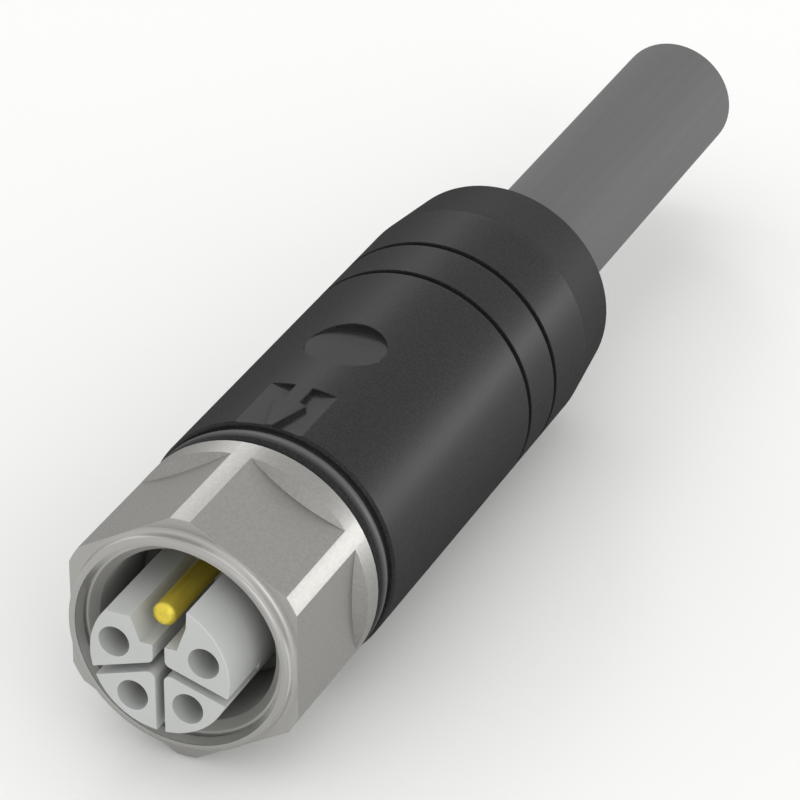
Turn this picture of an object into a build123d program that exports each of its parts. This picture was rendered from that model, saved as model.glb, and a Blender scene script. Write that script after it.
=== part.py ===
from build123d import *
import os
from math import cos, radians, sin, sqrt

# Round five-way socket plug on a short length of cut cable, with a spinning union nut.
# The origin is the centre of the contact carrier's mating face. +Y runs along the axis to the
# cable, and +Z is up, through the earth pin and the arrow. All sizes are in millimetres.

# Clearances
seat_gap = 0.02           # between pieces that are pressed, moulded or crimped together
nut_play = 0.15           # end play of the nut, in front of its collar and behind it
nut_bearing_gap = 0.10    # between the nut's collar bore and the carrier's neck
seal_bore_gap = 0.16      # between the thread bore and what sits at its foot
sleeve_space = 1.17       # round the contact carrier, for the threaded sleeve of the mating connector
core_gap = 0.09           # between the cores and the jacket
core_web = 0.05           # half of the space between neighbouring cores

# Union nut, M12 x 1 inside
nut_length = 10.0
thread_depth = 6.2        # from the lip to the seal
lip_wall = 0.45
lip_round = 0.22          # both rounds of the lip are turned as short cones
lip_height = 0.82         # the lip stands this far in front of the hexagon's front face
lip_cove = 0.27           # hollow from the lip down to the front face
lip_margin = 0.2          # the flats lie this far outside the lip
corner_height = 0.75      # the turned corners lie this far outside the flats
mouth_step = 0.89         # steps of the mouth's radii, each measured from the thread's
cone_step = 0.63
relief_step = 0.84
edge_step = 0.38
mouth_cone_depth = 0.57
relief_width = 0.2
thread_edge_bevel = 0.09
thread_lead_length = 0.5
collar_length = 1.55      # round collar at the rear
runout_length = 0.5       # the flats run out under the collar over this length
rear_edge_chamfer = 0.14

# Contact carrier
carrier_standout = 2.13   # its face stands this far in front of the nut's lip
carrier_wall = 1.4        # from the centres of the contacts to the carrier's outside
carrier_edge_chamfer = 0.06
neck_step = 0.41
flange_thickness = 0.8
anchor_rib_height = 0.6
anchor_rib_length = 0.8
anchor_rib_setback = 1.3  # from the grip's front end
carrier_tail = 3.0        # length of the carrier inside the grip
seal_thickness = 0.8
seal_chamfer = 0.2

# Slots and keyed channel in the carrier's face
contact_pitch = 72        # degrees from one contact to the next, the earth pin at the top
contact_ring_r = 2.89
slot_width = 0.55
slot_depth = 4.1
lobe_corner_r = 0.4
channel_depth = 7.6
channel_neck_width = 0.74
channel_ledge_z = 1.30
channel_ledge_width = 2.24
channel_bend_z = 2.9
channel_bend_width = 3.44
channel_rim_width = 3.6
coding_flat_z = 2.82

# Contacts
socket_mouth_r = 0.95
socket_setback = 2.8      # from the face to the front of the metal sockets
socket_bore_r = 0.78
socket_bore_depth = 7.0
socket_r = 1.1
collar_r = 1.35           # the shoulder that holds each contact in the carrier
contact_shoulder_setback = 4.6    # from the carrier's rear end
crimp_r = 1.08
crimp_length = 4.0
crimp_bore_depth = 3.6
pin_r = 0.7
pin_setback = 0.63        # from the face to the pin's tip
pin_tip_r = 0.48
pin_tip_length = 0.22
holder_thickness = 1.6

# Cable and cores
cable_r = 4.0
cable_stub = 30.8         # length that shows behind the grip
jacket_wall = 0.9
jacket_entry = 15.0       # length of the jacket inside the grip
core_wall = 0.3           # thickness of the insulation
core_lead = 1.5           # from the crimp's end to the first bend of the core
core_settle = 1.2         # from the last bend of the core to the jacket's front end

# Inner moulding
pre_mould_step = 1.0      # its radius over that of the carrier's neck
pre_mould_rear_wall = 0.9
pre_mould_taper = 5.0
pre_mould_overlap = 6.0   # length of jacket that it grips

# Grip
grip_margin = 0.14        # the grip stands this far outside the nut's corners
grip_length = 35.65
bead_front_step = 0.51    # these three steps are measured inwards from the grip's radius
bead_step = 0.15
valley_step = 0.4
bead_crest = 0.65         # from the grip's front end to the crest of the bead
bead_end = 1.45           # where the bead comes down to the valley behind it
body_position = 1.65      # where the main cylinder starts
body_edge_chamfer = 0.15
ring_groove_width = 0.45
ring_groove_depth = 0.3
ring_groove_positions = (21.6, 25.55)
taper_length = 5.2
grip_end_step = 0.59      # the grip narrows by this much in radius along its taper
grip_end_chamfer = 0.3

# Arrow and pocket on top of the grip
arrow_field_front = 1.75  # from the grip's front end
arrow_field_length = 4.85
arrow_field_width = 4.2
arrow_barb_width = 2.1
arrow_stem_width = 1.06
arrow_stem_length = 1.75
arrow_barb_sweep = 0.25
arrow_overrun = 0.7       # the point would lie this far in front of the field
pocket_position = 12.2
pocket_r = 2.45

# Distances along the axis, from the mating face
lip_y = carrier_standout
nut_rear_y = lip_y + nut_length
seal_y = lip_y + thread_depth
flange_y = seal_y + seal_thickness + seat_gap
flange_rear_y = flange_y + flange_thickness
nut_shoulder_y = flange_rear_y + nut_play
grip_y = nut_rear_y + nut_play
grip_end_y = grip_y + grip_length
carrier_rear_y = grip_y + carrier_tail
contact_shoulder_y = carrier_rear_y - contact_shoulder_setback
holder_y = carrier_rear_y + seat_gap
holder_rear_y = holder_y + holder_thickness
crimp_end_y = holder_rear_y + crimp_length
jacket_y = grip_end_y - jacket_entry
cable_end_y = grip_end_y + cable_stub

# Radii that follow from the contact circle outwards
carrier_r = contact_ring_r + carrier_wall
neck_r = carrier_r + neck_step
anchor_rib_r = neck_r + anchor_rib_height
pre_mould_r = neck_r + pre_mould_step
pre_mould_rear_r = cable_r + pre_mould_rear_wall
nut_bearing_r = neck_r + nut_bearing_gap
thread_minor_r = carrier_r + sleeve_space
foot_r = thread_minor_r - seal_bore_gap
thread_edge_r = thread_minor_r + edge_step
mouth_cone_r = thread_minor_r + cone_step
relief_r = thread_minor_r + relief_step
lip_mouth_r = thread_minor_r + mouth_step
lip_r = lip_mouth_r + lip_wall
flat_r = lip_r + lip_margin
nut_corner_r = flat_r + corner_height
grip_r = nut_corner_r + grip_margin
grip_end_r = grip_r - grip_end_step

# Cores as thick as the jacket has room for, five in a ring
core_ring_r = (cable_r - jacket_wall - core_gap + core_web) / (1 + sin(radians(contact_pitch / 2)))
core_r = core_ring_r * sin(radians(contact_pitch / 2)) - core_web
conductor_r = core_r - core_wall - seat_gap
filler_r = core_ring_r - core_r - seat_gap
cavity_r = max(crimp_r, core_r) + seat_gap

earth_angle = 90
socket_angles = [earth_angle + contact_pitch * step for step in (-1, 1, 2, 3)]
slot_angles = [earth_angle + contact_pitch * (step + 0.5) for step in (1, 2, 3)]


def station(y):
    # A plane across the axis, seen from the front: a negative extrusion runs towards the cable
    return Plane(origin=(0, y, 0), x_dir=(1, 0, 0), z_dir=(0, -1, 0))


def on_ring(radius, angle):
    # A point of a plane across the axis, from its radius and its angle from +X
    return (radius * cos(radians(angle)), radius * sin(radians(angle)))


def outline(*points):
    # A closed outline of radius and distance along the axis, to be turned about it
    with BuildSketch(Plane.XY) as section:
        with BuildLine():
            Polyline(*points, close=True)
        make_face()
    return section.sketch


def stepped(curve, count):
    # Points along a curve, for a round that is turned as a few short cones
    return [curve @ (step / count) for step in range(count + 1)]


def turned_contact(angle, *points):
    # A solid turned about a contact's own axis
    x, z = on_ring(contact_ring_r, angle)
    with BuildPart() as contact:
        with BuildSketch(Plane(origin=(x, 0, z))):
            with BuildLine():
                Polyline(*points, close=True)
            make_face()
        revolve(axis=Axis((x, 0, z), (0, 1, 0)))
    return contact.part


def core_tube(angle, outer_r, inner_r, start_y, end_y):
    # A round bar or tube that follows one core from its contact to the cable's cut end
    across = (cos(radians(angle)), 0, sin(radians(angle)))
    radial = Plane(origin=(0, 0, 0), x_dir=across, z_dir=(-across[2], 0, across[0]))
    with BuildPart() as tube:
        with BuildLine(radial) as route:
            Polyline(
                (contact_ring_r, start_y),
                (contact_ring_r, crimp_end_y + core_lead),
                (core_ring_r, jacket_y - core_settle),
                (core_ring_r, end_y),
            )
        with BuildSketch(Plane(origin=route.line @ 0, z_dir=route.line % 0)):
            Circle(outer_r)
            if inner_r > 0:
                Circle(inner_r, mode=Mode.SUBTRACT)
        sweep(transition=Transition.RIGHT)
    return tube.part


# Union nut: a turned blank, then six flats that stop under the rear collar
front_face_y = lip_y + lip_height
relief_y = lip_y + mouth_cone_depth
thread_edge_y = relief_y + relief_width
runout_rear_y = nut_rear_y - collar_length
runout_slope = runout_length / (nut_corner_r - flat_r)
blank_margin = 1.0
with BuildPart() as flats_cutter:
    with BuildSketch(Plane.XY):
        with BuildLine():
            Polyline(
                (0, lip_y - blank_margin),
                (nut_corner_r + blank_margin, lip_y - blank_margin),
                (nut_corner_r + blank_margin, runout_rear_y + blank_margin * runout_slope),
                (flat_r, runout_rear_y - runout_length),
                (0, runout_rear_y - runout_length),
                close=True,
            )
        make_face()
    revolve(axis=Axis.Y)
    with BuildSketch(station(lip_y - blank_margin)):
        RegularPolygon(radius=flat_r, side_count=6, major_radius=False, rotation=30)
    extrude(amount=-(nut_length + 2 * blank_margin), mode=Mode.SUBTRACT)

with BuildPart() as union_nut:
    with BuildSketch(Plane.XY):
        with BuildLine():
            lip_edge = CenterArc(
                (lip_r - lip_round, lip_y + lip_round), lip_round, -90, 90, mode=Mode.PRIVATE
            )
            lip_hollow = CenterArc(
                (lip_r + lip_cove, front_face_y - lip_cove), lip_cove, 180, -90, mode=Mode.PRIVATE
            )
            Polyline(
                (lip_mouth_r, lip_y),
                *stepped(lip_edge, 3),
                *stepped(lip_hollow, 3),
                (nut_corner_r, front_face_y),
                (nut_corner_r, nut_rear_y - rear_edge_chamfer),
                (nut_corner_r - rear_edge_chamfer, nut_rear_y),
                (nut_bearing_r, nut_rear_y),
                (nut_bearing_r, nut_shoulder_y),
                (thread_minor_r, nut_shoulder_y),
                (thread_minor_r, thread_edge_y + thread_edge_bevel + thread_lead_length),
                (thread_edge_r, thread_edge_y + thread_edge_bevel),
                (thread_edge_r + thread_edge_bevel, thread_edge_y),
                (relief_r, thread_edge_y),
                (relief_r, relief_y),
                (mouth_cone_r, relief_y),
                close=True,
            )
        make_face()
    revolve(axis=Axis.Y)
    add(flats_cutter.part, mode=Mode.SUBTRACT)

# Seal ring at the foot of the carrier
with BuildPart() as carrier_seal:
    revolve(
        outline(
            (carrier_r + seat_gap, seal_y),
            (foot_r, seal_y),
            (foot_r, seal_y + seal_thickness),
            (carrier_r + seat_gap, seal_y + seal_thickness),
        ),
        axis=Axis.Y,
    )
    chamfer(carrier_seal.edges().filter_by(GeomType.CIRCLE).group_by(Axis.Y)[0], length=seal_chamfer)

# Contact carrier: barrel, flange in front of the nut's shoulder, neck and anchor rib
rib_y = grip_y + anchor_rib_setback
with BuildPart() as contact_carrier:
    revolve(
        outline(
            (0, 0),
            (carrier_r - carrier_edge_chamfer, 0),
            (carrier_r, carrier_edge_chamfer),
            (carrier_r, flange_y),
            (foot_r, flange_y),
            (foot_r, flange_rear_y),
            (neck_r, flange_rear_y),
            (neck_r, rib_y),
            (anchor_rib_r, rib_y),
            (anchor_rib_r, rib_y + anchor_rib_length),
            (neck_r, rib_y + anchor_rib_length),
            (neck_r, carrier_rear_y),
            (0, carrier_rear_y),
        ),
        axis=Axis.Y,
    )
    # Three radial slots and the neck of the channel meet at the centre, with rounded lobe corners
    with BuildSketch(station(0)) as slots:
        for angle in slot_angles:
            with Locations(Location(on_ring(carrier_r / 2, angle) + (0,), (0, 0, angle))):
                Rectangle(carrier_r, slot_width)
        with Locations((0, channel_ledge_z / 2)):
            Rectangle(channel_neck_width, channel_ledge_z)
        lobe_corners = slots.vertices().sort_by_distance((0, 0, 0))[0:4]
        fillet(lobe_corners, radius=lobe_corner_r)
    extrude(amount=-slot_depth, mode=Mode.SUBTRACT)
    # Keyed channel round the earth pin, open at the rim
    with BuildSketch(station(0)):
        with BuildLine():
            Polyline(
                (-channel_neck_width / 2, 0),
                (channel_neck_width / 2, 0),
                (channel_neck_width / 2, channel_ledge_z),
                (channel_ledge_width / 2, channel_ledge_z),
                (channel_bend_width / 2, channel_bend_z),
                (channel_rim_width / 2, carrier_r),
                (-channel_rim_width / 2, carrier_r),
                (-channel_bend_width / 2, channel_bend_z),
                (-channel_ledge_width / 2, channel_ledge_z),
                (-channel_neck_width / 2, channel_ledge_z),
                close=True,
            )
        make_face()
    extrude(amount=-channel_depth, mode=Mode.SUBTRACT)
    # Coding flat on the lobe left of the channel
    with BuildSketch(station(0)):
        with Locations((0, coding_flat_z)):
            Rectangle(carrier_r, carrier_r, align=(Align.MAX, Align.MIN))
    extrude(amount=-channel_depth, mode=Mode.SUBTRACT)
    # Contact cavities, wider behind the shoulder that stops each contact
    socket_places = [on_ring(contact_ring_r, angle) for angle in socket_angles]
    with BuildSketch(station(0)):
        with Locations(*socket_places):
            Circle(socket_mouth_r)
    extrude(amount=-socket_setback, mode=Mode.SUBTRACT)
    with BuildSketch(station(socket_setback)):
        with Locations(*socket_places):
            Circle(socket_r + seat_gap)
    extrude(amount=-(contact_shoulder_y - socket_setback), mode=Mode.SUBTRACT)
    with BuildSketch(station(channel_depth)):
        with Locations(on_ring(contact_ring_r, earth_angle)):
            Circle(socket_r + seat_gap)
    extrude(amount=-(contact_shoulder_y - channel_depth), mode=Mode.SUBTRACT)
    with BuildSketch(station(contact_shoulder_y)):
        with PolarLocations(contact_ring_r, 5, start_angle=earth_angle):
            Circle(collar_r + seat_gap)
    extrude(amount=-(carrier_rear_y - contact_shoulder_y), mode=Mode.SUBTRACT)

# Rear disc that shuts the contacts in
with BuildPart() as contact_holder:
    with BuildSketch(station(holder_y)):
        Circle(neck_r)
        with PolarLocations(contact_ring_r, 5, start_angle=earth_angle):
            Circle(crimp_r + seat_gap, mode=Mode.SUBTRACT)
    extrude(amount=-holder_thickness)

# Sockets and earth pin, each with its shoulder, shank and crimp barrel
socket_floor_y = socket_setback + socket_bore_depth
crimp_floor_y = crimp_end_y - crimp_bore_depth
crimp_bore_r = conductor_r + seat_gap
socket_contacts = [
    turned_contact(
        angle,
        (0, socket_floor_y),
        (socket_bore_r, socket_floor_y),
        (socket_bore_r, socket_setback),
        (socket_r, socket_setback),
        (socket_r, contact_shoulder_y),
        (collar_r, contact_shoulder_y),
        (collar_r, carrier_rear_y),
        (crimp_r, carrier_rear_y),
        (crimp_r, crimp_end_y),
        (crimp_bore_r, crimp_end_y),
        (crimp_bore_r, crimp_floor_y),
        (0, crimp_floor_y),
    )
    for angle in socket_angles
]
earth_pin = turned_contact(
    earth_angle,
    (0, pin_setback),
    (pin_tip_r, pin_setback),
    (pin_r, pin_setback + pin_tip_length),
    (pin_r, channel_depth),
    (socket_r, channel_depth),
    (socket_r, contact_shoulder_y),
    (collar_r, contact_shoulder_y),
    (collar_r, carrier_rear_y),
    (crimp_r, carrier_rear_y),
    (crimp_r, crimp_end_y),
    (crimp_bore_r, crimp_end_y),
    (crimp_bore_r, crimp_floor_y),
    (0, crimp_floor_y),
)

# Cable: jacket, filler and five cores, cut square together
with BuildPart() as cable_jacket:
    with BuildSketch(station(jacket_y)):
        Circle(cable_r)
        Circle(cable_r - jacket_wall, mode=Mode.SUBTRACT)
    extrude(amount=-(cable_end_y - jacket_y))

with BuildPart() as centre_filler:
    with BuildSketch(station(jacket_y)):
        Circle(filler_r)
    extrude(amount=-(cable_end_y - jacket_y))


def insulation(angle):
    return core_tube(angle, core_r, conductor_r + seat_gap, crimp_end_y + seat_gap, cable_end_y)


def conductor(angle):
    return core_tube(angle, conductor_r, 0, crimp_floor_y + seat_gap, cable_end_y)


# Inner moulding: fills round the crimps and cores, and grips the end of the jacket
pre_mould_y = holder_rear_y + seat_gap
pre_mould_end_y = jacket_y + pre_mould_overlap
with BuildPart() as pre_mould:
    revolve(
        outline(
            (0, pre_mould_y),
            (pre_mould_r, pre_mould_y),
            (pre_mould_r, pre_mould_end_y - pre_mould_taper),
            (pre_mould_rear_r, pre_mould_end_y),
            (0, pre_mould_end_y),
        ),
        axis=Axis.Y,
    )
    with BuildSketch(station(jacket_y - seat_gap)):
        Circle(cable_r + seat_gap)
    extrude(amount=-(pre_mould_end_y - jacket_y + seat_gap), mode=Mode.SUBTRACT)
    for angle in [earth_angle] + socket_angles:
        add(core_tube(angle, cavity_r, 0, holder_y, cable_end_y), mode=Mode.SUBTRACT)

# Grip: turned outside with bead, ring grooves and taper, moulded over all that it holds
body_y = grip_y + body_position
taper_y = grip_end_y - taper_length
with BuildPart() as grip:
    with BuildSketch(Plane.XY) as grip_section:
        with BuildLine():
            bead = ThreePointArc(
                (grip_r - bead_front_step, grip_y),
                (grip_r - bead_step, grip_y + bead_crest),
                (grip_r - valley_step, grip_y + bead_end),
                mode=Mode.PRIVATE,
            )
            Polyline(
                *stepped(bead, 6),
                (grip_r - valley_step, body_y),
                (grip_r, body_y),
                (grip_r, taper_y),
                (grip_end_r, grip_end_y),
                (cable_r + seat_gap, grip_end_y),
                (cable_r + seat_gap, pre_mould_end_y + seat_gap),
                (pre_mould_rear_r + seat_gap, pre_mould_end_y + seat_gap),
                (pre_mould_r + seat_gap, pre_mould_end_y + seat_gap - pre_mould_taper),
                (pre_mould_r + seat_gap, pre_mould_y - seat_gap),
                (neck_r + seat_gap, pre_mould_y - seat_gap),
                (neck_r + seat_gap, rib_y + anchor_rib_length + seat_gap),
                (anchor_rib_r + seat_gap, rib_y + anchor_rib_length + seat_gap),
                (anchor_rib_r + seat_gap, rib_y - seat_gap),
                (neck_r + seat_gap, rib_y - seat_gap),
                (neck_r + seat_gap, grip_y),
                close=True,
            )
        make_face()
        body_edge = grip_section.vertices().sort_by_distance((grip_r, body_y, 0))[0]
        chamfer(body_edge, length=body_edge_chamfer)
        end_edge = grip_section.vertices().sort_by_distance((grip_end_r, grip_end_y, 0))[0]
        chamfer(end_edge, length=grip_end_chamfer)
    revolve(axis=Axis.Y)
    for position in ring_groove_positions:
        with BuildSketch(Plane.XY):
            with Locations((grip_r, grip_y + position)):
                Rectangle(2 * ring_groove_depth, ring_groove_width)
        revolve(axis=Axis.Y, mode=Mode.SUBTRACT)
    # Flat field whose sides run out on the round grip, with the arrow left standing in it
    field_z = sqrt(grip_r**2 - (arrow_field_width / 2) ** 2)
    field_y = grip_y + arrow_field_front
    field_rear_y = field_y + arrow_field_length
    barb_y = field_rear_y - arrow_stem_length
    with BuildSketch(Plane.XY.offset(field_z)):
        with Locations((0, field_y)):
            Rectangle(arrow_field_width, arrow_field_length, align=(Align.CENTER, Align.MIN))
        with BuildLine():
            Polyline(
                (0, field_y - arrow_overrun),
                (arrow_barb_width / 2, barb_y - arrow_barb_sweep),
                (arrow_stem_width / 2, barb_y),
                (arrow_stem_width / 2, field_rear_y),
                (-arrow_stem_width / 2, field_rear_y),
                (-arrow_stem_width / 2, barb_y),
                (-arrow_barb_width / 2, barb_y - arrow_barb_sweep),
                close=True,
            )
        make_face(mode=Mode.SUBTRACT)
    extrude(amount=grip_r - field_z, mode=Mode.SUBTRACT)
    # Round pocket with a flat floor, which also runs out at its sides
    pocket_z = sqrt(grip_r**2 - pocket_r**2)
    with BuildSketch(Plane.XY.offset(pocket_z)):
        with Locations((0, grip_y + pocket_position)):
            Circle(pocket_r)
    extrude(amount=grip_r - pocket_z, mode=Mode.SUBTRACT)

pieces = {
    "union_nut": union_nut.part,
    "carrier_seal": carrier_seal.part,
    "contact_carrier": contact_carrier.part,
    "contact_holder": contact_holder.part,
    "earth_pin": earth_pin,
    "pre_mould": pre_mould.part,
    "grip": grip.part,
    "cable_jacket": cable_jacket.part,
    "centre_filler": centre_filler.part,
    "earth_core_insulation": insulation(earth_angle),
    "earth_conductor": conductor(earth_angle),
}
for number, angle in enumerate(socket_angles, start=1):
    pieces[f"socket_contact_{number}"] = socket_contacts[number - 1]
    pieces[f"core_insulation_{number}"] = insulation(angle)
    pieces[f"conductor_{number}"] = conductor(angle)

os.makedirs("parts", exist_ok=True)
for name, piece in pieces.items():
    piece.label = name
    export_step(piece, f"parts/{name}.step")
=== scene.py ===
from math import cos, radians, sin
import bpy
from mathutils import Matrix, Vector


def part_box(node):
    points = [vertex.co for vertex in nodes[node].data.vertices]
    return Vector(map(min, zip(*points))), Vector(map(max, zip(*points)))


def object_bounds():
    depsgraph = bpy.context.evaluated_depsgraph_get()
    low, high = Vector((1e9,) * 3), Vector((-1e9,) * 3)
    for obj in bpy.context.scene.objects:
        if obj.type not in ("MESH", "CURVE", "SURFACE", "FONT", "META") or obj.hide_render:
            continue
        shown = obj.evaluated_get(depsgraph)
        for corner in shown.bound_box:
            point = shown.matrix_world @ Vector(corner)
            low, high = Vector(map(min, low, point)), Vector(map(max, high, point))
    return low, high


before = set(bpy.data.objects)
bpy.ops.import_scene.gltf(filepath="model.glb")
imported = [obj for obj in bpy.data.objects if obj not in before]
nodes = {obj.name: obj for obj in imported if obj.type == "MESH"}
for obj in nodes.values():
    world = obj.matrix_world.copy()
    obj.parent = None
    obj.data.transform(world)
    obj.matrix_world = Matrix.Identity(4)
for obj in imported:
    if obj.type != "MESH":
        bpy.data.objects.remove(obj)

boxLow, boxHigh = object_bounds()        # the box before anything is dressed
mm = 0.001
noiseBand = (0.3, 0.7)               # a noise pattern's values mostly lie between these
crispBand = (0.35, 0.65)             # the same, cut closer, so that the pattern shows more
print("stage 1: frame loaded,", len(nodes), "pieces")


def linearColour(hexText):
    # sRGB hex, as a paint chart gives it, turned to the linear values that shaders use
    channels = [int(hexText[i:i + 2], 16) / 255 for i in (1, 3, 5)]
    return tuple(c / 12.92 if c <= 0.04045 else ((c + 0.055) / 1.055) ** 2.4 for c in channels) + (1,)


def setInputs(tree, node, inputs):
    # an input given another node's socket is linked, and otherwise takes the value
    for name, value in inputs.items():
        if isinstance(value, bpy.types.NodeSocket):
            tree.links.new(value, node.inputs[name])
        else:
            node.inputs[name].default_value = value


def addNode(tree, kind, place, settings=None, inputs=None, stops=()):
    # a node with its settings and links; the two stops are a colour ramp's positions and hex colours
    node = tree.nodes.new(kind)
    node.location = place
    for name, value in (settings or {}).items():
        setattr(node, name, value)
    setInputs(tree, node, inputs or {})
    for number, (position, colour) in enumerate(stops):
        element = node.color_ramp.elements[number]
        element.position, element.color = position, linearColour(colour)
    return node


def newMaterial(name):
    material = bpy.data.materials.new(name)
    material.use_nodes = True
    tree = material.node_tree
    tree.nodes.clear()
    shader = addNode(tree, "ShaderNodeBsdfPrincipled", (0, 0))
    addNode(tree, "ShaderNodeOutputMaterial", (300, 0), inputs={"Surface": shader.outputs["BSDF"]})
    coords = addNode(tree, "ShaderNodeTexCoord", (-1600, 0))
    return material, tree, shader, coords.outputs["Object"]


def perMetre(sizeMm):
    # texture scale for a pattern whose repeat is this many millimetres
    return 1 / (sizeMm * mm)


def dullAtSlant(tree, rough, finish):
    # a grain hides its own valleys at a slant, so the gloss dies away towards the rim
    facing = addNode(tree, "ShaderNodeLayerWeight", (-700, -150), inputs={"Blend": 0.5}).outputs["Facing"]
    added = addNode(tree, "ShaderNodeMapRange", (-500, -150), inputs={
        "Value": facing, "From Min": finish["dullFrom"], "To Max": finish["dullAtRim"]}).outputs["Result"]
    return addNode(tree, "ShaderNodeMath", (-200, 0), {"operation": "ADD", "use_clamp": True},
                   {0: rough, 1: added}).outputs["Value"]


def dress(material, *names):
    for name in names:
        for place in nodes[name].material_slots:
            place.material = material


# Satin nickel on turned brass: a grey metal that blurs what it mirrors, with tumbled grain on the milled
# flats and edges broken by the tumbling. The turned front is painted lighter for the light that falls on it,
# the bore is painted lighter for light that reaches into the mouth, lightest at its relief groove, and the
# lip's side carries a painted highlight. Grain and turning lines are drawn coarser than they are, to show.
# A zone goes from nothing at its first figure to whole at its second: out along the flats' normals, by
# radius, or by depth behind the lip
nutFinish = {
    # the front, lip-side, bore and groove tones are painted light: lighter tones for light on the front and
    # in the mouth, and a painted highlight on the lip's side
    "colour": "#999895", "shade": "#8f8e8b", "front": "#acaba8", "lipPaintedSheen": "#c8c7c4",
    "bore": "#b2b1ae", "paintedGrooveLight": "#d6d5d2", "speckleMm": 0.2,
    "roughFlat": 0.48, "roughTurned": 0.45, "roughThread": 0.8, "dullFrom": 0.6, "dullAtRim": 0.8,
    "grainMm": 0.12, "grainDepthMm": 0.003, "turningMm": 0.12, "turningDepthMm": 0.0006,
    "edgeMm": 0.06, "lipRoundMm": 0.3, "lipFootRadiusMm": 7.07, "flatTurns": (0, 60, 120),
    "zonesMm": {
        "flat": ("flats", 6.97, 6.99), "thread": ("radius", 5.95, 5.85), "paintedGrooveLight": ("radius", 6.05, 6.1),
        "mouth": ("radius", 6.33, 6.31), "lipInner": ("radius", 6.45, 6.55),
        "lipOuter": ("radius", 6.95, 6.9), "front": ("depth", 0.83, 0.82),
        "lipPaintedSheen": ("depth", 0.82, 0.22), "lipPaintedSheenStart": ("depth", 0.17, 0.22),
    },
}


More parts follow.
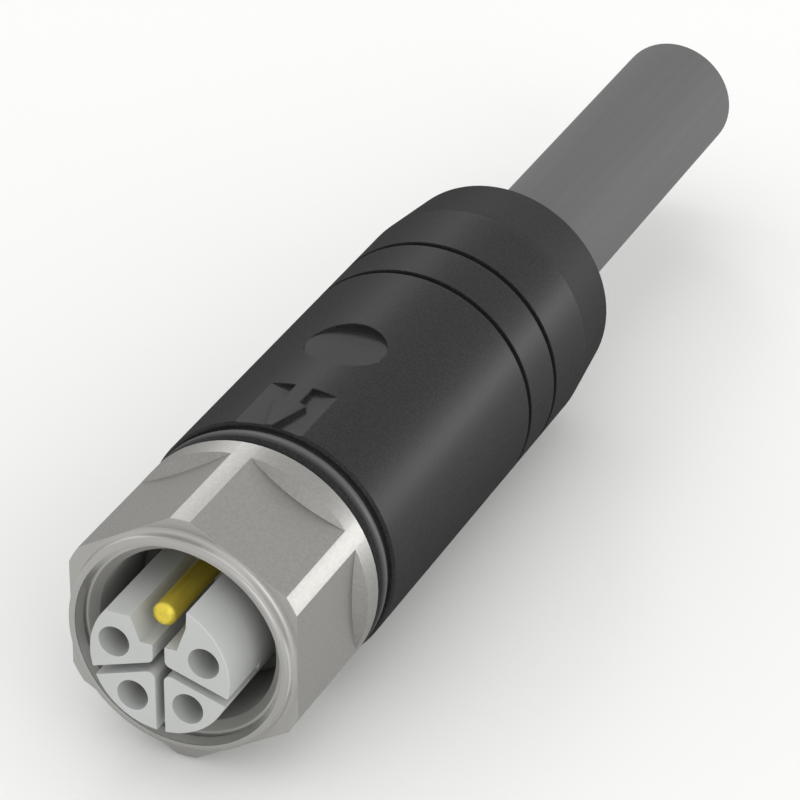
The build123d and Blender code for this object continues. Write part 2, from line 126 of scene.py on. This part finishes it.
def satinNickel(finish):
    material, tree, shader, coords = newMaterial("nickel_plated_brass_satin")
    depth = addNode(tree, "ShaderNodeSeparateXYZ", (-1400, 1400), inputs={"Vector": coords}).outputs["Y"]
    across = addNode(tree, "ShaderNodeVectorMath", (-1400, 1200), {"operation": "MULTIPLY"},
                     {0: coords, 1: (1, 0, 1)}).outputs["Vector"]
    radius = addNode(tree, "ShaderNodeVectorMath", (-1200, 1200), {"operation": "LENGTH"},
                     {0: across}).outputs["Value"]
    flats = None                      # how far a point lies out along the nearest flat's normal
    for number, turn in enumerate(finish["flatTurns"]):
        height = 1000 - 160 * number
        normal = (cos(radians(turn)), 0, sin(radians(turn)))
        along = addNode(tree, "ShaderNodeVectorMath", (-1400, height), {"operation": "DOT_PRODUCT"},
                        {0: coords, 1: normal}).outputs["Value"]
        along = addNode(tree, "ShaderNodeMath", (-1200, height), {"operation": "ABSOLUTE"},
                        {0: along}).outputs["Value"]
        if flats is not None:
            along = addNode(tree, "ShaderNodeMath", (-1000, height), {"operation": "MAXIMUM"},
                            {0: along, 1: flats}).outputs["Value"]
        flats = along

    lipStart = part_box("union_nut")[0][1]
    measures = {"flats": (flats, 0), "radius": (radius, 0), "depth": (depth, lipStart)}
    zones = {}
    for number, (name, (measure, start, end)) in enumerate(finish["zonesMm"].items()):
        value, zero = measures[measure]
        zones[name] = addNode(tree, "ShaderNodeMapRange", (-800, 2000 - 160 * number), inputs={
            "Value": value, "From Min": zero + start * mm, "From Max": zero + end * mm}).outputs["Result"]
    # painted highlight on the lip's side: brightest where it starts, less so towards its foot
    paintedSheen = addNode(tree, "ShaderNodeMath", (-600, 1000), {"operation": "LESS_THAN"},
                     {0: radius, 1: finish["lipFootRadiusMm"] * mm}).outputs["Value"]
    for number, name in enumerate(("lipPaintedSheenStart", "lipPaintedSheen")):
        paintedSheen = addNode(tree, "ShaderNodeMath", (-450 + 150 * number, 1000), {"operation": "MULTIPLY"},
                         {0: paintedSheen, 1: zones[name]}).outputs["Value"]

    speckle = addNode(tree, "ShaderNodeTexNoise", (-1000, 400), inputs={
        "Vector": coords, "Scale": perMetre(finish["speckleMm"]), "Detail": 3.0,
        "Roughness": 0.75}).outputs["Fac"]
    colour = addNode(tree, "ShaderNodeValToRGB", (-700, 400), inputs={"Fac": speckle}, stops=zip(
        crispBand, (finish["shade"], finish["colour"]))).outputs["Color"]
    # painted light in the mouth: the bore is painted lighter than the metal, lighter still at its relief
    # groove, for light that reaches inside
    bore = addNode(tree, "ShaderNodeValToRGB", (-500, 700), inputs={"Fac": zones["paintedGrooveLight"]}, stops=(
        (0, finish["bore"]), (1, finish["paintedGrooveLight"]))).outputs["Color"]
    # painted light: the front is painted lighter for the light that falls on it, and the lip's side carries a
    # painted highlight
    layers = ((zones["front"], linearColour(finish["front"])), (paintedSheen, linearColour(finish["lipPaintedSheen"])),
              (zones["mouth"], bore))
    for number, (share, tone) in enumerate(layers):
        colour = addNode(tree, "ShaderNodeMix", (-400 + 130 * number, 400), {"data_type": "RGBA"},
                         {0: share, 6: colour, 7: tone}).outputs[2]

    rough = finish["roughTurned"]
    for number, (name, zoneRough) in enumerate(
            (("flat", finish["roughFlat"]), ("thread", finish["roughThread"]))):
        rough = addNode(tree, "ShaderNodeMapRange", (-700 + 200 * number, 100), inputs={
            "Value": zones[name], "To Min": rough, "To Max": zoneRough}).outputs["Result"]
    rough = dullAtSlant(tree, rough, finish)

    # every edge is broken a little, and the lip's outer one is a wide round
    roundness = finish["lipRoundMm"] * mm
    for number, name in enumerate(("lipOuter", "lipInner", "front")):
        roundness = addNode(tree, "ShaderNodeMapRange", (-1200 + 200 * number, -600), inputs={
            "Value": zones[name], "To Min": finish["edgeMm"] * mm, "To Max": roundness}).outputs["Result"]
    normal = addNode(tree, "ShaderNodeBevel", (-600, -600), {"samples": 8},
                     {"Radius": roundness}).outputs["Normal"]
    rings = addNode(tree, "ShaderNodeTexNoise", (-1000, -350), {"noise_dimensions": "1D"}, {
        "W": depth, "Scale": perMetre(finish["turningMm"]), "Detail": 2.0}).outputs["Fac"]
    grain = addNode(tree, "ShaderNodeTexNoise", (-1000, -100), inputs={
        "Vector": coords, "Scale": perMetre(finish["grainMm"]), "Detail": 3.0,
        "Roughness": 0.6}).outputs["Fac"]
    tumbled = addNode(tree, "ShaderNodeMath", (-800, -350), {"operation": "MULTIPLY"},
                      {0: grain, 1: zones["flat"]}).outputs["Value"]
    for number, (height, depthMm) in enumerate(
            ((rings, finish["turningDepthMm"]), (tumbled, finish["grainDepthMm"]))):
        normal = addNode(tree, "ShaderNodeBump", (-400 + 200 * number, -450), inputs={
            "Height": height, "Distance": depthMm * mm, "Normal": normal}).outputs["Normal"]
    setInputs(tree, shader, {"Base Color": colour, "Metallic": 1.0, "Roughness": rough, "Normal": normal})
    return material


dress(satinNickel(nutFinish), "union_nut")

# Glass-filled nylon, moulded light grey: even and matt, with a faint cloudiness. On this and the other plain
# mouldings the grain is drawn coarser than it is, to show
carrierFinish = {
    "name": "nylon_moulded_light_grey", "colour": "#bbbdbc", "shade": "#b5b7b5", "cloudMm": 4.0,
    "rough": (0.42, 0.52), "grainMm": 0.2, "grainDepthMm": 0.002, "ior": 1.53,
}


def mouldedPlastic(finish):
    material, tree, shader, coords = newMaterial(finish["name"])
    cloud = addNode(tree, "ShaderNodeTexNoise", (-900, 300), inputs={
        "Vector": coords, "Scale": perMetre(finish["cloudMm"]), "Detail": 3.0}).outputs["Fac"]
    grain = addNode(tree, "ShaderNodeTexNoise", (-900, -100), inputs={
        "Vector": coords, "Scale": perMetre(finish["grainMm"]), "Detail": 2.0,
        "Roughness": 0.55}).outputs["Fac"]
    colour = addNode(tree, "ShaderNodeValToRGB", (-500, 300), inputs={"Fac": cloud}, stops=zip(
        noiseBand, (finish["shade"], finish["colour"]))).outputs["Color"]
    rough = addNode(tree, "ShaderNodeMapRange", (-500, 0), inputs={
        "Value": grain, "To Min": finish["rough"][0], "To Max": finish["rough"][1]}).outputs["Result"]
    normal = addNode(tree, "ShaderNodeBump", (-300, -300), inputs={
        "Height": grain, "Distance": finish["grainDepthMm"] * mm}).outputs["Normal"]
    setInputs(tree, shader, {"Base Color": colour, "Roughness": rough, "IOR": finish["ior"],
                             "Normal": normal})
    return material


dress(mouldedPlastic(carrierFinish), "contact_carrier")

# The same nylon left undyed on the disc that nobody sees
holderFinish = {
    "name": "nylon_moulded_natural", "colour": "#b9b9b4", "shade": "#b1b1ac", "cloudMm": 4.0,
    "rough": (0.45, 0.55), "grainMm": 0.2, "grainDepthMm": 0.002, "ior": 1.53,
}
dress(mouldedPlastic(holderFinish), "contact_holder")

# Nitrile rubber ring, moulded: dark and dull, a little greenish beside the metal
sealFinish = {
    "name": "nitrile_rubber_moulded", "colour": "#63635d", "shade": "#5c5c56", "cloudMm": 4.0,
    "rough": (0.5, 0.62), "grainMm": 0.1, "grainDepthMm": 0.003, "ior": 1.52,
}
dress(mouldedPlastic(sealFinish), "carrier_seal")

# Polyurethane moulded in a spark-eroded tool: black-grey with a fine even grain that softens its highlights,
# drawn a little coarse to show. The bead's crest carries a painted highlight in lighter grey, and the taper
# starts without an edge.
# The bead's figures are where it starts, its crest from and to, and its end, behind the grip's front; the
# taper's are its start before the grip's end, and how far from there the edge's softness fades out
gripFinish = {
    # the lighter grey on the bead is a painted highlight
    "colour": "#2b2b2b", "shade": "#1e1e1e", "paintedSheen": "#575757", "rough": (0.41, 0.5), "mirror": 0.13,
    "dullFrom": 0.47, "dullAtRim": 0.65, "grainMm": 0.14, "grainDepthMm": 0.006, "edgeMm": 0.12,
    "beadMm": (0.35, 0.9, 1.25, 1.6), "taperMm": 5.2, "taperReachMm": (1.44, 1.6), "taperRoundMm": 1.2,
}


def sparkGrip(finish):
    material, tree, shader, coords = newMaterial("polyurethane_spark_grain_black")
    front, back = (corner[1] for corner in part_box("grip"))
    along = addNode(tree, "ShaderNodeSeparateXYZ", (-1400, 300), inputs={"Vector": coords}).outputs["Y"]
    grain = addNode(tree, "ShaderNodeTexNoise", (-1200, 0), inputs={
        "Vector": coords, "Scale": perMetre(finish["grainMm"]), "Detail": 2.0,
        "Roughness": 0.6}).outputs["Fac"]
    colour = addNode(tree, "ShaderNodeValToRGB", (-900, 200), inputs={"Fac": grain}, stops=zip(
        crispBand, (finish["shade"], finish["colour"]))).outputs["Color"]
    # painted highlight: the bead's crest is painted lighter grey
    start, crestStart, crestEnd, end = (front + distance * mm for distance in finish["beadMm"])
    rise = addNode(tree, "ShaderNodeMapRange", (-1200, 700), {"interpolation_type": "SMOOTHSTEP"}, {
        "Value": along, "From Min": start, "From Max": crestStart}).outputs["Result"]
    fall = addNode(tree, "ShaderNodeMapRange", (-1200, 450), {"interpolation_type": "SMOOTHSTEP"}, {
        "Value": along, "From Min": crestEnd, "From Max": end,
        "To Min": 1.0, "To Max": 0.0}).outputs["Result"]
    bead = addNode(tree, "ShaderNodeMath", (-1000, 550), {"operation": "MULTIPLY"},
                   {0: rise, 1: fall}).outputs["Value"]
    colour = addNode(tree, "ShaderNodeMix", (-600, 300), {"data_type": "RGBA"},
                     {0: bead, 6: colour, 7: linearColour(finish["paintedSheen"])}).outputs[2]
    rough = addNode(tree, "ShaderNodeMapRange", (-500, 100), inputs={
        "Value": grain, "To Min": finish["rough"][0], "To Max": finish["rough"][1]}).outputs["Result"]
    rough = dullAtSlant(tree, rough, finish)

    apart = addNode(tree, "ShaderNodeMath", (-1200, -400), {"operation": "SUBTRACT"},
                    {0: along, 1: back - finish["taperMm"] * mm}).outputs["Value"]
    apart = addNode(tree, "ShaderNodeMath", (-1050, -400), {"operation": "ABSOLUTE"},
                    {0: apart}).outputs["Value"]
    near, far = finish["taperReachMm"]
    roundness = addNode(tree, "ShaderNodeMapRange", (-900, -400), inputs={
        "Value": apart, "From Min": near * mm, "From Max": far * mm,
        "To Min": finish["taperRoundMm"] * mm, "To Max": finish["edgeMm"] * mm}).outputs["Result"]
    edges = addNode(tree, "ShaderNodeBevel", (-700, -400), {"samples": 6},
                    {"Radius": roundness}).outputs["Normal"]
    normal = addNode(tree, "ShaderNodeBump", (-300, -300), inputs={
        "Height": grain, "Distance": finish["grainDepthMm"] * mm, "Normal": edges}).outputs["Normal"]
    setInputs(tree, shader, {"Base Color": colour, "Roughness": rough,
                             "Specular IOR Level": finish["mirror"], "Normal": normal})
    return material


dress(sparkGrip(gripFinish), "grip")

# Polypropylene moulded round the crimps: mid grey and matt, all inside the grip
innerFinish = {
    "name": "polypropylene_inner_mould", "colour": "#6a6a68", "shade": "#626260", "cloudMm": 4.0,
    "rough": (0.5, 0.6), "grainMm": 0.3, "grainDepthMm": 0.003, "ior": 1.49,
}
dress(mouldedPlastic(innerFinish), "pre_mould")

# Polyurethane drawn over the cores: matt mid grey, with faint lines along its length from the die and a grain
# that is drawn coarser than it is, to show
jacketFinish = {
    "colour": "#626162", "shade": "#5e5d5e", "rough": 0.75, "mirror": 0.3, "grainMm": 0.12,
    "grainDepthMm": 0.003, "lineMm": 0.5, "lineDepthMm": 0.002, "lineStretch": 50,
}


def drawnJacket(finish):
    material, tree, shader, coords = newMaterial("polyurethane_extruded_grey")
    drawn = addNode(tree, "ShaderNodeMapping", (-1200, -300), inputs={
        "Vector": coords, "Scale": (1, 1 / finish["lineStretch"], 1)}).outputs["Vector"]
    lines = addNode(tree, "ShaderNodeTexNoise", (-1000, -300), inputs={
        "Vector": drawn, "Scale": perMetre(finish["lineMm"]), "Detail": 2.0}).outputs["Fac"]
    grain = addNode(tree, "ShaderNodeTexNoise", (-1000, 0), inputs={
        "Vector": coords, "Scale": perMetre(finish["grainMm"]), "Detail": 2.0}).outputs["Fac"]
    colour = addNode(tree, "ShaderNodeValToRGB", (-600, 300), inputs={"Fac": lines}, stops=zip(
        noiseBand, (finish["shade"], finish["colour"]))).outputs["Color"]
    normal = addNode(tree, "ShaderNodeBump", (-500, -300), inputs={
        "Height": lines, "Distance": finish["lineDepthMm"] * mm}).outputs["Normal"]
    normal = addNode(tree, "ShaderNodeBump", (-300, -300), inputs={
        "Height": grain, "Distance": finish["grainDepthMm"] * mm, "Normal": normal}).outputs["Normal"]
    setInputs(tree, shader, {"Base Color": colour, "Roughness": finish["rough"],
                             "Specular IOR Level": finish["mirror"], "Normal": normal})
    return material


dress(drawnJacket(jacketFinish), "cable_jacket")

# Thin gold on turned copper alloy: yellow and satin, with a rounded tip and faint streaks along its length
giltFinish = {
    "colour": "#e9d75c", "shade": "#dcc74e", "rough": (0.5, 0.6), "edgeMm": 0.3,
    "streakMm": 0.25, "streakDepthMm": 0.0004, "streakStretch": 12.5,
}


def thinGold(finish):
    material, tree, shader, coords = newMaterial("gold_plated_turned")
    drawn = addNode(tree, "ShaderNodeMapping", (-1200, 0), inputs={
        "Vector": coords, "Scale": (1, 1 / finish["streakStretch"], 1)}).outputs["Vector"]
    streaks = addNode(tree, "ShaderNodeTexNoise", (-1000, 0), inputs={
        "Vector": drawn, "Scale": perMetre(finish["streakMm"]), "Detail": 2.0}).outputs["Fac"]
    colour = addNode(tree, "ShaderNodeValToRGB", (-600, 300), inputs={"Fac": streaks}, stops=zip(
        noiseBand, (finish["shade"], finish["colour"]))).outputs["Color"]
    rough = addNode(tree, "ShaderNodeMapRange", (-600, 0), inputs={
        "Value": streaks, "To Min": finish["rough"][0], "To Max": finish["rough"][1]}).outputs["Result"]
    edges = addNode(tree, "ShaderNodeBevel", (-500, -500), {"samples": 6},
                    {"Radius": finish["edgeMm"] * mm}).outputs["Normal"]
    normal = addNode(tree, "ShaderNodeBump", (-300, -300), inputs={
        "Height": streaks, "Distance": finish["streakDepthMm"] * mm, "Normal": edges}).outputs["Normal"]
    setInputs(tree, shader, {"Base Color": colour, "Metallic": 1.0, "Roughness": rough, "Normal": normal})
    return material


dress(thinGold(giltFinish), "earth_pin", *[f"socket_contact_{number}" for number in range(1, 5)])

# Bare copper strands, cut across: a warm metal broken into round wire ends with dark joints. The strands are
# about 0.1 mm thick and are drawn more than twice as coarse, to show
strandFinish = {
    "colour": "#c9805a", "joint": "#5a3424", "jointBand": (0.05, 0.35), "rough": 0.38,
    "wireMm": 0.26, "wireUneven": 0.6, "wireStretch": 20, "crownFrom": 0.35, "wireDepthMm": 0.05,
}


def copperStrands(finish):
    material, tree, shader, coords = newMaterial("copper_strands_bare")
    drawn = addNode(tree, "ShaderNodeMapping", (-1200, 0), inputs={
        "Vector": coords, "Scale": (1, 1 / finish["wireStretch"], 1)}).outputs["Vector"]
    wires = addNode(tree, "ShaderNodeTexVoronoi", (-1000, 0), {"feature": "DISTANCE_TO_EDGE"}, {
        "Vector": drawn, "Scale": perMetre(finish["wireMm"]),
        "Randomness": finish["wireUneven"]}).outputs["Distance"]
    crown = addNode(tree, "ShaderNodeMapRange", (-800, 0), inputs={
        "Value": wires, "From Max": finish["crownFrom"]}).outputs["Result"]
    colour = addNode(tree, "ShaderNodeValToRGB", (-500, 200), inputs={"Fac": crown}, stops=zip(
        finish["jointBand"], (finish["joint"], finish["colour"]))).outputs["Color"]
    normal = addNode(tree, "ShaderNodeBump", (-300, -300), inputs={
        "Height": crown, "Distance": finish["wireDepthMm"] * mm}).outputs["Normal"]
    setInputs(tree, shader, {"Base Color": colour, "Metallic": 1.0, "Roughness": finish["rough"],
                             "Normal": normal})
    return material


dress(copperStrands(strandFinish), "earth_conductor", *[f"conductor_{number}" for number in range(1, 5)])

# Core insulation, drawn smooth: soft plastic with a slight shine, each in its own colour and its shade
coreFinish = {
    "cloudMm": 2.0, "rough": (0.35, 0.45), "grainMm": 0.3, "grainDepthMm": 0.002, "ior": 1.5,
    "cores": {
        1: ("brown", "#6b4529", "#5f3c23"), 2: ("black", "#2b2b2b", "#252525"),
        3: ("blue", "#2f5f9e", "#285590"), 4: ("white", "#dcdcd6", "#d2d2cc"),
    },
}
for number, (colourName, light, dark) in coreFinish["cores"].items():
    finish = dict(coreFinish, name="core_insulation_" + colourName, colour=light, shade=dark)
    dress(mouldedPlastic(finish), f"core_insulation_{number}")

# The earth core's insulation: green with a broad yellow stripe along it. The stripe's figures are how far
# from the middle the yellow reaches, and where the green is whole
earthFinish = {"green": "#3c8a3a", "yellow": "#e3cf35", "rough": 0.4, "stripeMm": (0.32, 0.38)}


def stripedCore(finish):
    material, tree, shader, coords = newMaterial("core_insulation_green_yellow")
    sideways = addNode(tree, "ShaderNodeSeparateXYZ", (-1000, 0), inputs={"Vector": coords}).outputs["X"]
    sideways = addNode(tree, "ShaderNodeMath", (-800, 0), {"operation": "ABSOLUTE"},
                       {0: sideways}).outputs["Value"]
    yellowTo, greenFrom = finish["stripeMm"]
    edge = addNode(tree, "ShaderNodeMapRange", (-600, 0), inputs={
        "Value": sideways, "From Min": yellowTo * mm, "From Max": greenFrom * mm}).outputs["Result"]
    colour = addNode(tree, "ShaderNodeValToRGB", (-300, 100), inputs={"Fac": edge}, stops=(
        (0, finish["yellow"]), (1, finish["green"]))).outputs["Color"]
    setInputs(tree, shader, {"Base Color": colour, "Roughness": finish["rough"]})
    return material


dress(stripedCore(earthFinish), "earth_core_insulation")

# Twisted polypropylene cord in the middle of the cable: off-white, fibrous
fillerFinish = {
    "name": "polypropylene_filler_cord", "colour": "#d8d5cb", "shade": "#a9a69c", "cloudMm": 0.3,
    "rough": (0.7, 0.85), "grainMm": 0.12, "grainDepthMm": 0.03, "ior": 1.49,
}
dress(mouldedPlastic(fillerFinish), "centre_filler")
print("stage 2: materials on")

# The floor that the plug lies on: pale, with a little light of its own towards the eye, so that it comes out
# nearly white and keeps the plug's soft shadow
floorPlan = {"colour": "#e9e9e7", "rough": 0.9, "halfWidthMm": 3000, "glow": 0.06}
bpy.ops.object.select_all(action="DESELECT")
bpy.ops.mesh.primitive_plane_add(size=2 * floorPlan["halfWidthMm"] * mm, location=(0, 0, boxLow.z))
floor = bpy.context.object
floor.name = "studio_floor"
material, tree, shader, coords = newMaterial("painted_board_white")
path = addNode(tree, "ShaderNodeLightPath", (-600, -300))
seen = path.outputs["Is Camera Ray"]
for number, ray in enumerate(("Is Glossy Ray", "Is Transmission Ray")):
    seen = addNode(tree, "ShaderNodeMath", (-400 + 150 * number, -300),
                   {"operation": "ADD", "use_clamp": True},
                   {0: seen, 1: path.outputs[ray]}).outputs["Value"]
glow = addNode(tree, "ShaderNodeMath", (-120, -300), {"operation": "MULTIPLY"},
               {0: seen, 1: floorPlan["glow"]}).outputs["Value"]
setInputs(tree, shader, {"Base Color": linearColour(floorPlan["colour"]), "Roughness": floorPlan["rough"],
                         "Emission Color": (1, 1, 1, 1), "Emission Strength": glow})
floor.data.materials.append(material)

# Three soft boxes aimed at the plug's middle: two behind it light its edges, and a large one lights the front
lampPlan = {
    "left": {"placeMm": (-284, 545, 277), "wideMm": 120, "tallMm": 120, "watts": 0.43},
    "right": {"placeMm": (410, 560, 26), "wideMm": 190, "tallMm": 62, "watts": 0.97},
    "front": {"placeMm": (480, -360, 240), "wideMm": 360, "tallMm": 360, "watts": 0.9},
}
aimMm = (0, 30, 0)
for name, lamp in lampPlan.items():
    light = bpy.data.lights.new("softbox_" + name, "AREA")
    light.shape = "RECTANGLE"
    light.size, light.size_y = lamp["wideMm"] * mm, lamp["tallMm"] * mm
    light.energy = lamp["watts"]
    holder = bpy.data.objects.new("softbox_" + name, light)
    holder.location = Vector(lamp["placeMm"]) * mm
    holder.rotation_euler = (Vector(aimMm) * mm - holder.location).to_track_quat("-Z", "Y").to_euler()
    holder.visible_camera = False
    bpy.context.scene.collection.objects.link(holder)

# The room: an even white that fills the shadows
roomPlan = {"colour": "#ffffff", "strength": 1.0}
world = bpy.data.worlds.new("studio_room")
world.use_nodes = True
backdrop = world.node_tree.nodes["Background"]
backdrop.inputs["Color"].default_value = linearColour(roomPlan["colour"])
backdrop.inputs["Strength"].default_value = roomPlan["strength"]
bpy.context.scene.world = world
bpy.context.scene.view_settings.view_transform = "Standard"
print("stage 3: floor and lamps set")

# The camera, fitted to the photograph: its place, and its axes across, up and back
cameraPlan = {
    "placeMm": (93.03, -174.85, 129.55), "across": (0.91214, 0.40977, 0.0), "up": (-0.2030, 0.45218, 0.8686),
    "back": (0.35592, -0.79223, 0.4954), "lensMm": 193.68, "sensorMm": 36.0, "clipM": (0.01, 20.0),
}
lens = bpy.data.cameras.new("photo_camera")
lens.lens = cameraPlan["lensMm"]
lens.sensor_width = cameraPlan["sensorMm"]
lens.clip_start, lens.clip_end = cameraPlan["clipM"]
camera = bpy.data.objects.new("photo_camera", lens)
turned = Matrix((cameraPlan["across"], cameraPlan["up"], cameraPlan["back"])).transposed().to_4x4()
camera.matrix_world = Matrix.Translation(Vector(cameraPlan["placeMm"]) * mm) @ turned
bpy.context.scene.collection.objects.link(camera)
bpy.context.scene.camera = camera
print("stage 4: camera placed")
